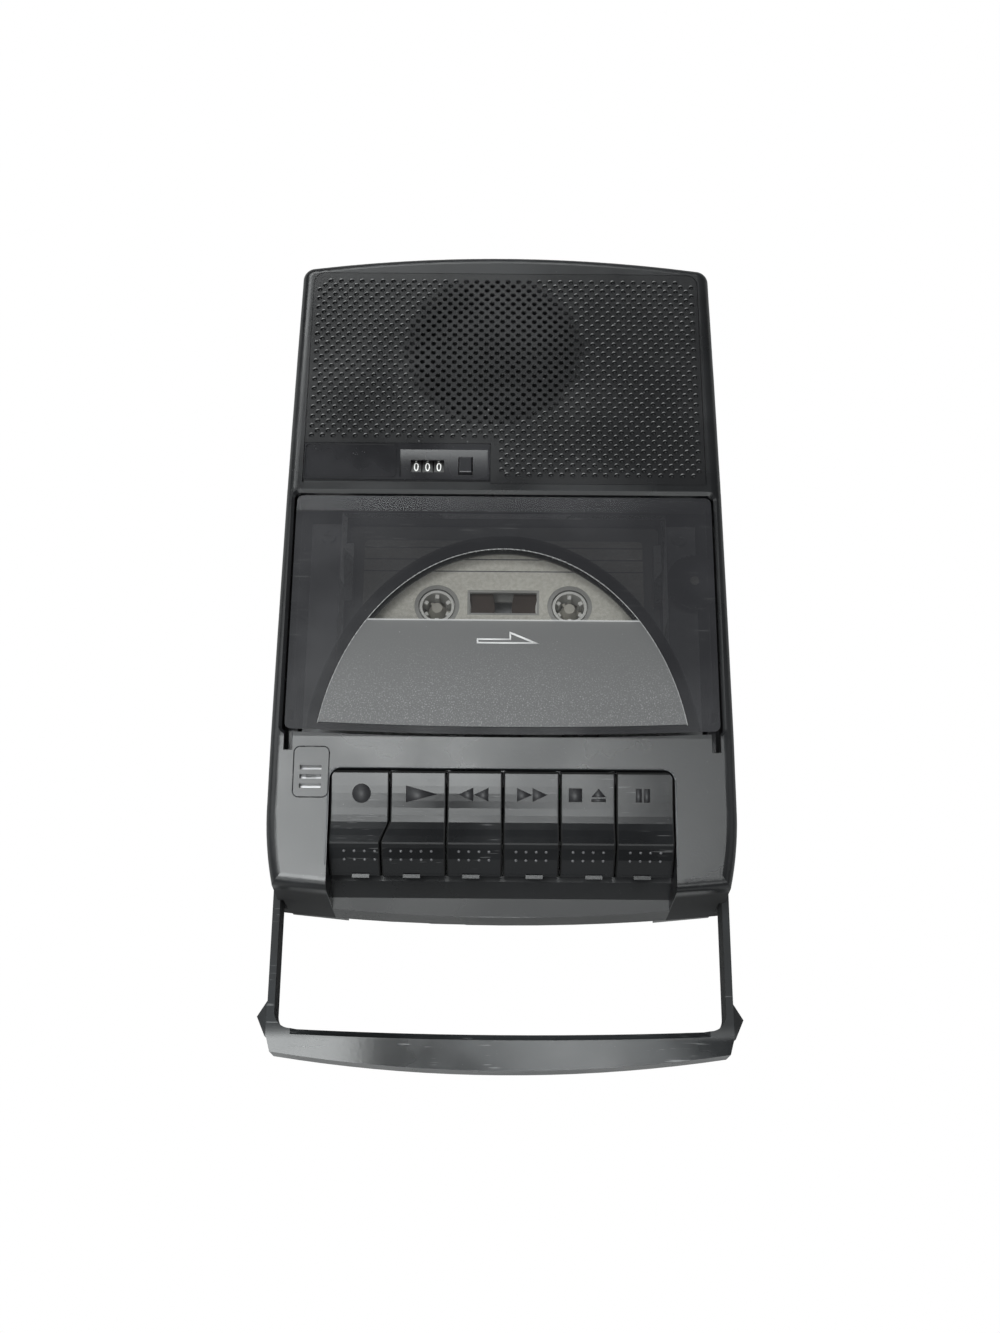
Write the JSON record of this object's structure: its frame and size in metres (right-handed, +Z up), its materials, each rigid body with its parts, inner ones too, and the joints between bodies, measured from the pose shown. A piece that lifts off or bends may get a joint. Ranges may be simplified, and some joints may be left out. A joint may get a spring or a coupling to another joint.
{
  "type": "portable cassette recorder",
  "caption": "Flat tabletop cassette recorder with piano keys, smoked cassette lid, perforated speaker end, tape counter and pull-out carrying handle.",
  "frame": {"origin": "middle of the base of the whole object's box, with the handle pulled out", "axes": "+X to the right seen from above with the keys nearest, +Y from the keys to the speaker end, +Z up"},
  "size_m": [0.149, 0.2734, 0.0483],
  "materials": {
    "case_plastic": "fine satin texture",
    "grille_plastic": "satin, perforated",
    "trim_plastic": "semi-gloss",
    "key_plastic": "semi-gloss, worn",
    "handle_plastic": "semi-gloss, scratched",
    "smoked_plastic": "smoked, semi-transparent",
    "window_plastic": "clear at the rear, frosted at the front",
    "cassette_plastic": "satin",
    "label_paper": "matt paper",
    "reel_plastic": "satin",
    "tape": "satin",
    "digit_plastic": "matt, white digits",
    "steel": "brushed",
    "plated_steel": "polished",
    "brass": "turned",
    "rubber": "matt",
    "foot_rubber": "matt",
    "cone_paper": "felted paper",
    "board": "lacquered",
    "cell_jacket": "gloss sleeve",
    "mechanism_plastic": "satin"
  },
  "bodies": {
    "case": {"lower_case": "case_plastic", "upper_case": "case_plastic", "grille_panel": "grille_plastic", "battery_cells": "cell_jacket", "battery_contacts": "plated_steel", "rubber_feet": "foot_rubber", "case_screws": "steel", "counter_bezel": "trim_plastic", "counter_frame": "mechanism_plastic", "speaker_basket": "steel", "speaker_cone": "cone_paper", "speaker_magnet": "steel", "circuit_board": "board", "volume_control": "mechanism_plastic", "earphone_jack": "trim_plastic", "microphone_jack": "trim_plastic", "dc_jack": "trim_plastic", "microphone_capsule": "steel", "chassis": "steel", "chassis_screws": "steel", "motor": "steel", "drive_belt": "rubber", "counter_belt": "rubber", "capstan_bearing": "brass", "key_shaft": "plated_steel", "lid_hinge_pins": "plated_steel"},
    "handle_body": {"handle": "handle_plastic"},
    "battery_door": {"battery_cover": "case_plastic"},
    "lid_body": {"lid": "smoked_plastic", "lid_window": "window_plastic", "cassette_holder": "steel", "cassette_upper_shell": "cassette_plastic", "cassette_lower_shell": "cassette_plastic", "cassette_label": "label_paper"},
    "supply_reel": {"supply_hub": "reel_plastic", "supply_tape": "tape"},
    "take_up_reel": {"take_up_hub": "reel_plastic", "take_up_tape": "tape"},
    "supply_drive": {"supply_spindle": "mechanism_plastic"},
    "take_up_drive": {"take_up_spindle": "mechanism_plastic"},
    "capstan_drive": {"flywheel": "steel", "capstan": "plated_steel"},
    "motor_rotor": {"motor_pulley": "brass"},
    "head_carriage": {"head_plate": "steel", "record_play_head": "plated_steel", "erase_head": "plated_steel"},
    "pinch_lever": {"pinch_arm": "steel"},
    "pinch_wheel": {"pinch_roller": "rubber"},
    "counter_drive": {"counter_pulley": "mechanism_plastic"},
    "units_wheel": {"counter_units_wheel": "digit_plastic"},
    "tens_wheel": {"counter_tens_wheel": "digit_plastic"},
    "hundreds_wheel": {"counter_hundreds_wheel": "digit_plastic"},
    "reset": {"reset_button": "trim_plastic"},
    "volume": {"volume_wheel": "trim_plastic"},
    "record_key_body": {"record_key": "key_plastic"},
    "play_key_body": {"play_key": "key_plastic"},
    "rewind_key_body": {"rewind_key": "key_plastic"},
    "fast_forward_key_body": {"fast_forward_key": "key_plastic"},
    "stop_eject_key_body": {"stop_eject_key": "key_plastic"},
    "pause_key_body": {"pause_key": "key_plastic"}
  },
  "joints": [
    {"name": "handle_slide", "type": "slide", "parent": "case", "child": "handle_body", "axis": [0, 1, 0], "range_m": [0, 0.0364]},
    {"name": "lid_hinge", "type": "hinge", "parent": "case", "child": "lid_body", "pos_m": [0, -0.046, 0.036], "axis": [1, 0, 0], "range_deg": [0, 55]},
    {"name": "battery_cover_slide", "type": "slide", "parent": "case", "child": "battery_door", "axis": [0, 1, 0], "range_m": [0, 0.012]},
    {"name": "reset_press", "type": "slide", "parent": "case", "child": "reset", "axis": [0, 0, -1], "range_m": [0, 0.0012], "stiffness_N_per_m": 150, "springref_m": -0.0005},
    {"name": "volume_turn", "type": "hinge", "parent": "case", "child": "volume", "pos_m": [0.0627, 0.02, 0.03], "axis": [0, 0, 1], "range_deg": [-150, 150]},
    {"name": "record_key_turn", "type": "hinge", "parent": "case", "child": "record_key_body", "pos_m": [0, -0.045, 0.031], "axis": [1, 0, 0], "range_deg": [0, 7], "stiffness_Nm_per_rad": 0.25, "springref_deg": -2.86},
    {"name": "play_key_turn", "type": "hinge", "parent": "case", "child": "play_key_body", "pos_m": [0, -0.045, 0.031], "axis": [1, 0, 0], "range_deg": [0, 7], "stiffness_Nm_per_rad": 0.25, "springref_deg": -2.86},
    {"name": "rewind_key_turn", "type": "hinge", "parent": "case", "child": "rewind_key_body", "pos_m": [0, -0.045, 0.031], "axis": [1, 0, 0], "range_deg": [0, 7], "stiffness_Nm_per_rad": 0.25, "springref_deg": -2.86},
    {"name": "fast_forward_key_turn", "type": "hinge", "parent": "case", "child": "fast_forward_key_body", "pos_m": [0, -0.045, 0.031], "axis": [1, 0, 0], "range_deg": [0, 7], "stiffness_Nm_per_rad": 0.25, "springref_deg": -2.86},
    {"name": "stop_eject_key_turn", "type": "hinge", "parent": "case", "child": "stop_eject_key_body", "pos_m": [0, -0.045, 0.031], "axis": [1, 0, 0], "range_deg": [0, 7], "stiffness_Nm_per_rad": 0.25, "springref_deg": -2.86},
    {"name": "pause_key_turn", "type": "hinge", "parent": "case", "child": "pause_key_body", "pos_m": [0, -0.045, 0.031], "axis": [1, 0, 0], "range_deg": [0, 7], "stiffness_Nm_per_rad": 0.25, "springref_deg": -2.86},
    {"name": "take_up_spin", "type": "hinge", "parent": "case", "child": "take_up_drive", "pos_m": [0.02125, 0.0068, 0.03], "axis": [0, 0, 1], "continuous": true},
    {"name": "supply_spin", "type": "hinge", "parent": "case", "child": "supply_drive", "pos_m": [-0.02125, 0.0068, 0.03], "axis": [0, 0, 1], "continuous": true},
    {"name": "take_up_reel_spin", "type": "hinge", "parent": "lid_body", "child": "take_up_reel", "pos_m": [0.02125, 0.0068, 0.0357], "axis": [0, 0, 1], "continuous": true},
    {"name": "supply_reel_spin", "type": "hinge", "parent": "lid_body", "child": "supply_reel", "pos_m": [-0.02125, 0.0068, 0.0357], "axis": [0, 0, 1], "continuous": true},
    {"name": "flywheel_spin", "type": "hinge", "parent": "case", "child": "capstan_drive", "pos_m": [0.0243, -0.0242, 0.021], "axis": [0, 0, 1], "continuous": true},
    {"name": "motor_spin", "type": "hinge", "parent": "case", "child": "motor_rotor", "pos_m": [-0.028, 0.014, 0.021], "axis": [0, 0, 1], "continuous": true},
    {"name": "head_slide", "type": "slide", "parent": "case", "child": "head_carriage", "axis": [0, 1, 0], "range_m": [0, 0.004]},
    {"name": "pinch_arm_turn", "type": "hinge", "parent": "case", "child": "pinch_lever", "pos_m": [0.04, -0.03325, 0.0285], "axis": [0, 0, -1], "range_deg": [0, 16.3]},
    {"name": "pinch_roller_spin", "type": "hinge", "parent": "pinch_lever", "child": "pinch_wheel", "pos_m": [0.0243, -0.0355, 0.0355], "axis": [0, 0, 1], "continuous": true},
    {"name": "counter_pulley_spin", "type": "hinge", "parent": "case", "child": "counter_drive", "pos_m": [-0.0175, 0.05845, 0.03], "axis": [0, 0, 1], "continuous": true},
    {"name": "units_wheel_spin", "type": "hinge", "parent": "case", "child": "units_wheel", "pos_m": [-0.02135, 0.0532, 0.04083], "axis": [1, 0, 0], "continuous": true},
    {"name": "tens_wheel_spin", "type": "hinge", "parent": "case", "child": "tens_wheel", "pos_m": [-0.02505, 0.0532, 0.04083], "axis": [1, 0, 0], "continuous": true},
    {"name": "hundreds_wheel_spin", "type": "hinge", "parent": "case", "child": "hundreds_wheel", "pos_m": [-0.02875, 0.0532, 0.04083], "axis": [1, 0, 0], "continuous": true}
  ],
  "couplings": [
    {"joint": "supply_spin", "follows": "take_up_spin", "ratio": 1},
    {"joint": "take_up_reel_spin", "follows": "take_up_spin", "ratio": 1},
    {"joint": "supply_reel_spin", "follows": "take_up_spin", "ratio": 1},
    {"joint": "counter_pulley_spin", "follows": "take_up_spin", "ratio": 1.9444},
    {"joint": "units_wheel_spin", "follows": "take_up_spin", "ratio": 0.09722},
    {"joint": "tens_wheel_spin", "follows": "take_up_spin", "ratio": 0.009722},
    {"joint": "hundreds_wheel_spin", "follows": "take_up_spin", "ratio": 0.0009722},
    {"joint": "motor_spin", "follows": "flywheel_spin", "ratio": 4.5},
    {"joint": "pinch_roller_spin", "follows": "flywheel_spin", "ratio": -0.2182},
    {"joint": "head_slide", "follows": "play_key_turn", "m_per_rad": 0.0327},
    {"joint": "pinch_arm_turn", "follows": "play_key_turn", "ratio": 2.32}
  ]
}
